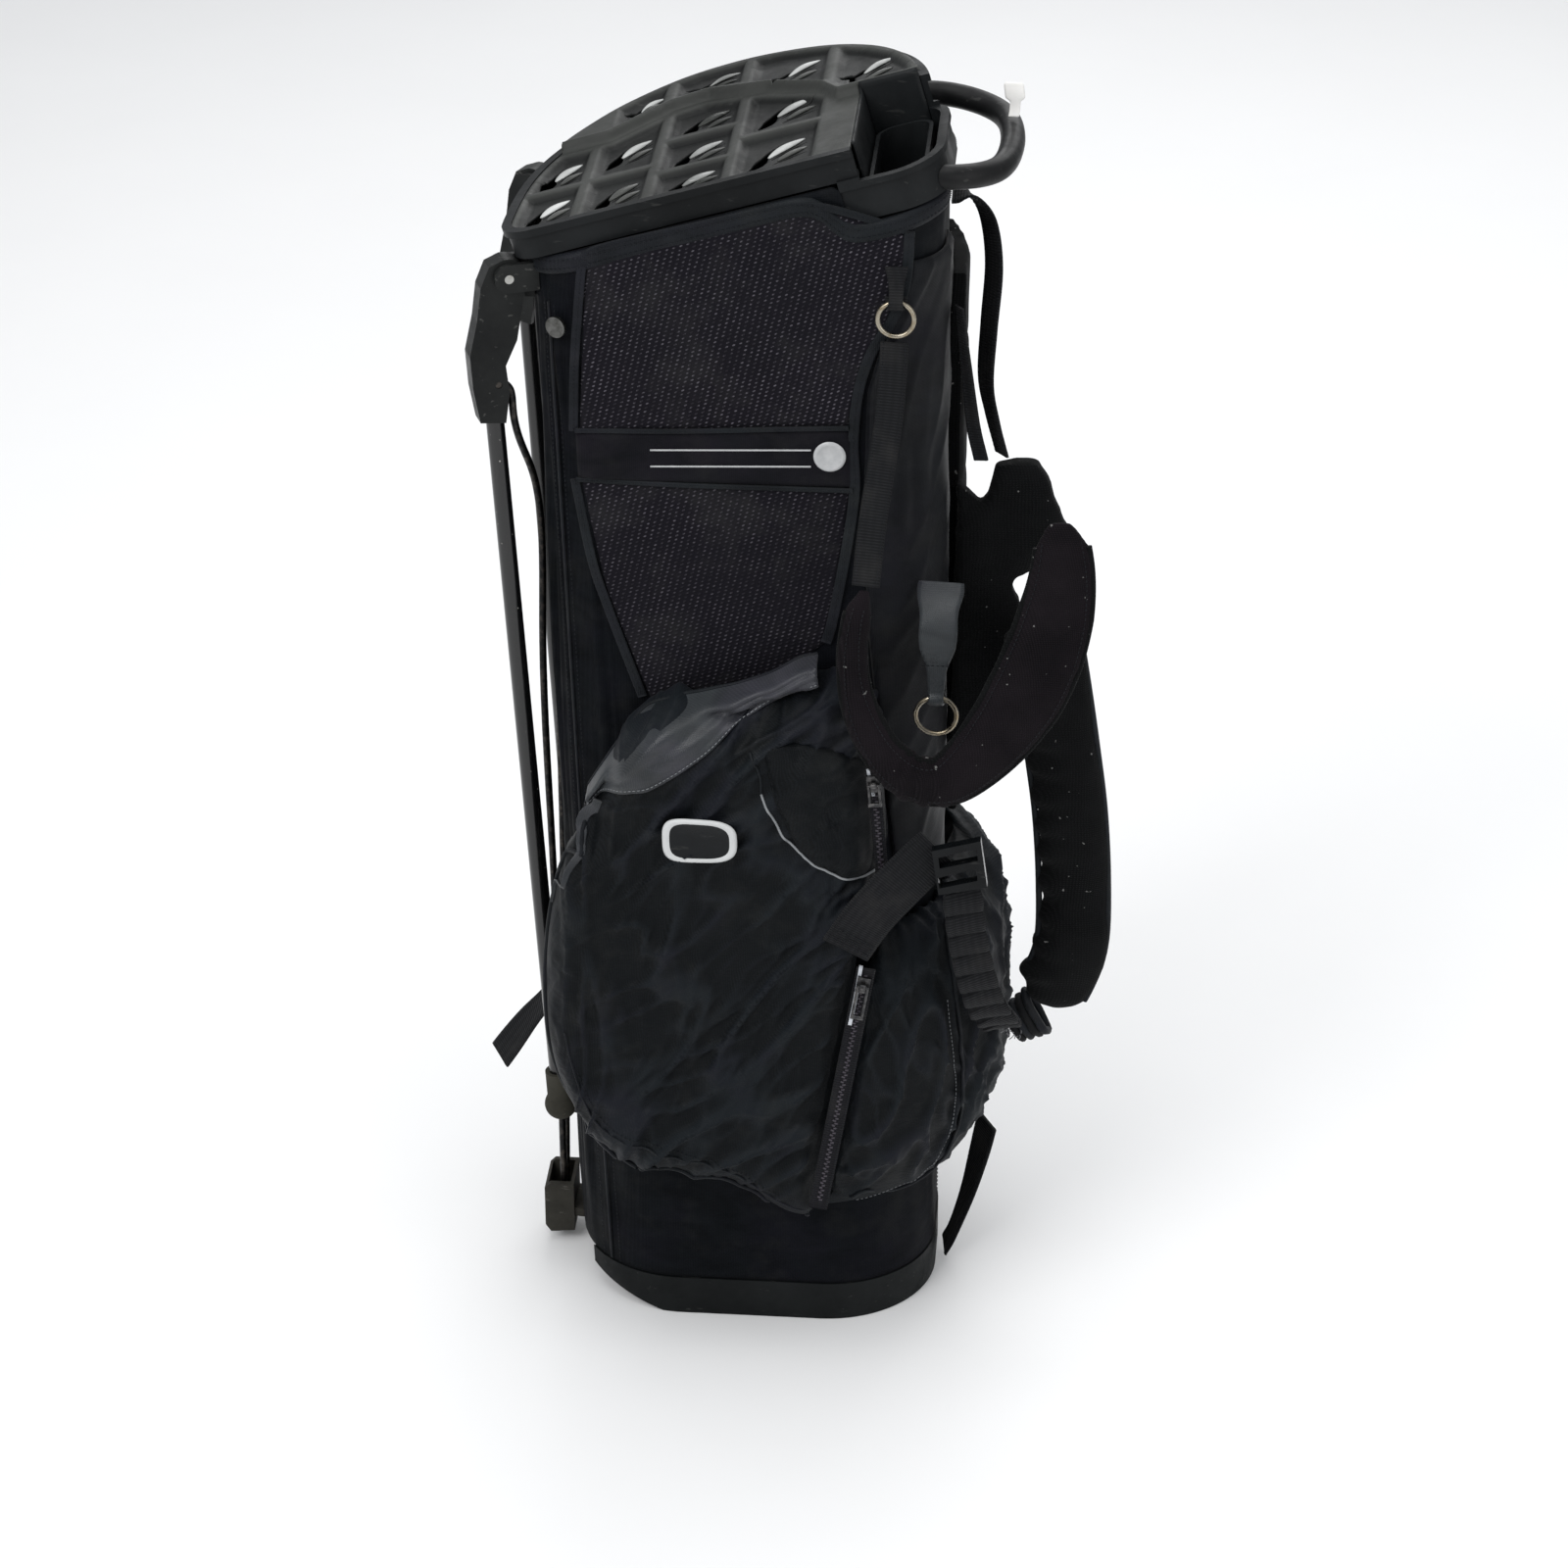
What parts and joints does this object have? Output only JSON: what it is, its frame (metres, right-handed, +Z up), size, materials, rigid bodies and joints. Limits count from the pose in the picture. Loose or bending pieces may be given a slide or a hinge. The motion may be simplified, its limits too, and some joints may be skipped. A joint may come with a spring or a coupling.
{
  "type": "golf stand bag",
  "caption": "Upright golf stand bag with a sloped divided top, folding twin legs, zipped pockets, a mesh front panel and a double shoulder strap.",
  "frame": {"origin": "centre of the flat bottom of the base", "axes": "+Z up, -X the leg side, +X the strap and handle side, -Y the large pocket and mesh side"},
  "size_m": [0.4369, 0.3291, 0.9031],
  "materials": {
    "base_rubber": "scuffed matte moulding",
    "rocker_plastic": "dusty matte moulding",
    "pin_steel": "satin",
    "shell_fabric": "woven nylon",
    "cuff_plastic": "matte",
    "divider_plastic": "matte, lighter ribs",
    "tongue_rubber": "glossy flexible tongue",
    "well_plastic": "matte",
    "divider_fabric": "plain weave",
    "handle_rubber": "soft touch",
    "tag_paper": "blank printed-paper tag without print",
    "bracket_plastic": "scratched matte moulding",
    "screw_steel": "worn",
    "leg_paint": "gloss black with chips",
    "foot_rubber": "dusty",
    "rod_paint": "satin black",
    "mesh_fabric": "spacer mesh",
    "band_fabric": "plain weave with thin reflective lines",
    "panel_fabric": "coated weave, worn",
    "pocket_fabric": "wrinkled nylon",
    "trim_fabric": "coated, sheen",
    "pad_mesh": "fine mesh over foam",
    "webbing": "ribbed webbing",
    "buckle_plastic": "gloss",
    "ring_metal": "nickel plated",
    "rivet_metal": "domed",
    "zip_tape": "coated coil zip",
    "zip_metal": "worn nickel"
  },
  "bodies": {
    "bag": {"base_cup": "base_rubber", "rocker_pin": "pin_steel", "bag_shell": "shell_fabric", "top_cuff": "cuff_plastic", "divider_lower_tier": "divider_plastic", "divider_upper_tier": "divider_plastic", "slot_tongues": "tongue_rubber", "putter_well": "well_plastic", "divider_sheets": "divider_fabric", "lift_handle": "handle_rubber", "handle_tag": "tag_paper", "leg_bracket": "bracket_plastic", "bracket_screws": "screw_steel", "leg_strap": "webbing", "mesh_upper": "mesh_fabric", "mesh_band": "band_fabric", "mesh_lower": "mesh_fabric", "strap_side_panel": "panel_fabric", "side_pocket": "pocket_fabric", "pocket_trim": "trim_fabric", "small_pocket": "pocket_fabric", "ball_pocket": "pocket_fabric", "far_pocket": "pocket_fabric", "spine_pad": "pad_mesh", "shoulder_pad_near": "pad_mesh", "yoke_pad": "pad_mesh", "shoulder_pad_far": "pad_mesh", "strap_collar": "webbing", "upper_webbing_loop": "webbing", "webbing_tail": "webbing", "front_webbing": "webbing", "cross_webbing": "webbing", "ladder_buckle": "buckle_plastic", "ladder_webbing": "webbing", "base_anchor_webbing": "webbing", "side_ring_tab": "webbing", "towel_ring_tab": "trim_fabric", "rivets": "rivet_metal", "near_leg_pin": "pin_steel", "far_leg_pin": "pin_steel", "main_zip_track": "zip_tape", "small_zip_track": "zip_tape", "far_zip_track": "zip_tape"},
    "near_leg": {"near_leg_elbow": "bracket_plastic", "near_leg_tube": "leg_paint", "near_leg_foot": "foot_rubber"},
    "far_leg": {"far_leg_elbow": "bracket_plastic", "far_leg_tube": "leg_paint", "far_leg_foot": "foot_rubber"},
    "near_rod": {"near_push_rod": "rod_paint"},
    "far_rod": {"far_push_rod": "rod_paint"},
    "rocker": {"base_rocker": "rocker_plastic"},
    "side_ring_swing": {"side_ring": "ring_metal"},
    "towel_ring_swing": {"towel_ring": "ring_metal"},
    "main_slider": {"main_zip_slider": "zip_metal"},
    "main_pull": {"main_zip_pull": "zip_metal"},
    "small_slider": {"small_zip_slider": "zip_metal"},
    "small_pull": {"small_zip_pull": "zip_metal"},
    "far_slider": {"far_zip_slider": "zip_metal"},
    "far_pull": {"far_zip_pull": "zip_metal"}
  },
  "joints": [
    {"name": "near_leg_hinge", "type": "hinge", "parent": "bag", "child": "near_leg", "pos_m": [-0.152, -0.08, 0.79], "axis": [-0.3746, 0.9272, 0], "range_deg": [0, 33], "stiffness_Nm_per_rad": 0.5, "springref_deg": -20.05},
    {"name": "far_leg_hinge", "type": "hinge", "parent": "bag", "child": "far_leg", "pos_m": [-0.152, 0.08, 0.79], "axis": [0.3746, 0.9272, 0], "range_deg": [0, 33]},
    {"name": "near_rod_eye", "type": "hinge", "parent": "near_leg", "child": "near_rod", "pos_m": [-0.1594, -0.083, 0.716], "axis": [-0.3746, 0.9272, 0], "range_deg": [-38, 0]},
    {"name": "far_rod_eye", "type": "hinge", "parent": "far_leg", "child": "far_rod", "pos_m": [-0.1594, 0.083, 0.716], "axis": [0.3746, 0.9272, 0], "range_deg": [-38, 0]},
    {"name": "rocker_hinge", "type": "hinge", "parent": "bag", "child": "rocker", "pos_m": [-0.058, 0, 0.0073], "axis": [0, 1, 0], "range_deg": [0, 8.5]},
    {"name": "side_ring_hinge", "type": "hinge", "parent": "bag", "child": "side_ring_swing", "pos_m": [0.0995, -0.107, 0.7895], "axis": [-1, 0, 0], "range_deg": [0, 75]},
    {"name": "towel_ring_hinge", "type": "hinge", "parent": "bag", "child": "towel_ring_swing", "pos_m": [0.13, -0.119, 0.5164], "axis": [-1, 0, 0], "range_deg": [-25, 75]},
    {"name": "main_zip_slide", "type": "slide", "parent": "bag", "child": "main_slider", "axis": [-0.1609, 0, -0.987], "range_m": [0, 0.16]},
    {"name": "main_pull_hinge", "type": "hinge", "parent": "main_slider", "child": "main_pull", "pos_m": [0.08603, -0.1598, 0.31608], "axis": [-0.987, 0, 0.1609], "range_deg": [0, 120]},
    {"name": "small_zip_slide", "type": "slide", "parent": "bag", "child": "small_slider", "axis": [0.0851, 0, -0.9964], "range_m": [0, 0.055]},
    {"name": "small_pull_hinge", "type": "hinge", "parent": "small_slider", "child": "small_pull", "pos_m": [0.09151, -0.1553, 0.46802], "axis": [-0.9964, 0, -0.0851], "range_deg": [0, 110]},
    {"name": "far_zip_slide", "type": "slide", "parent": "bag", "child": "far_slider", "axis": [0, 0, -1], "range_m": [0, 0.3]},
    {"name": "far_pull_hinge", "type": "hinge", "parent": "far_slider", "child": "far_pull", "pos_m": [0.062, 0.1528, 0.494], "axis": [1, 0, 0], "range_deg": [0, 120]}
  ],
  "couplings": [
    {"joint": "far_leg_hinge", "follows": "near_leg_hinge", "ratio": 1},
    {"joint": "near_rod_eye", "follows": "near_leg_hinge", "ratio": -1.1},
    {"joint": "far_rod_eye", "follows": "near_leg_hinge", "ratio": -1.1},
    {"joint": "rocker_hinge", "follows": "near_leg_hinge", "ratio": 0.2424}
  ]
}
